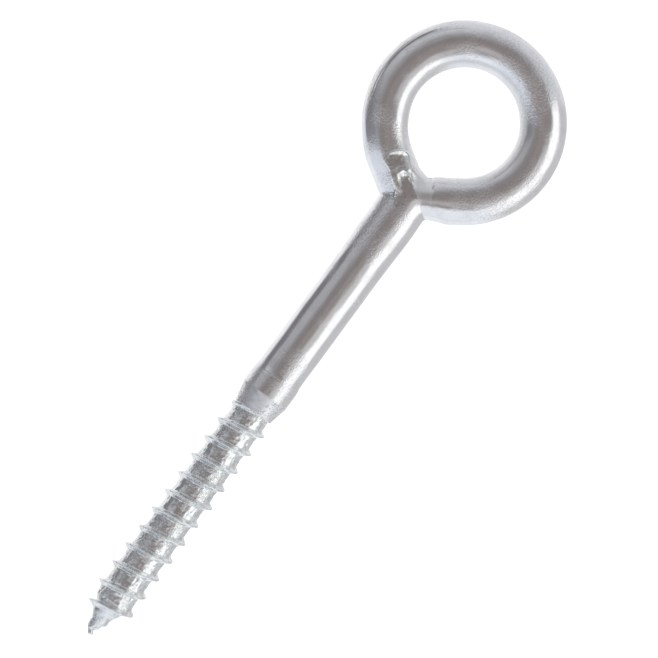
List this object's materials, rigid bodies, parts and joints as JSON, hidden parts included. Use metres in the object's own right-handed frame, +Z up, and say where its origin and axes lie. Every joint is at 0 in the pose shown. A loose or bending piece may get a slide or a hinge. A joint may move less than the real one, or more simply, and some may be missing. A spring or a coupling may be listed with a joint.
{
  "type": "screw eye",
  "caption": "Welded screw eye: a bright zinc rod bent and welded into a round eye, with a plain shank, a rolled band, a tapered shoulder and a coarse wood thread ending in a point.",
  "frame": {"origin": "middle of the underside: the centre of the part's bounding box in plan, at the height of the surface that the screw eye lies on", "axes": "+X runs along the screw from its tip to its eye, +Z is up, square to the flat eye, and the welded free arm of the eye is on the +Y side"},
  "size_m": [0.1494, 0.0416, 0.0104],
  "materials": {
    "bright_zinc": "bright zinc plate, glossy on the rod and grainy in the thread"
  },
  "bodies": {
    "root": {"screw_eye": "bright_zinc"}
  },
  "joints": []
}
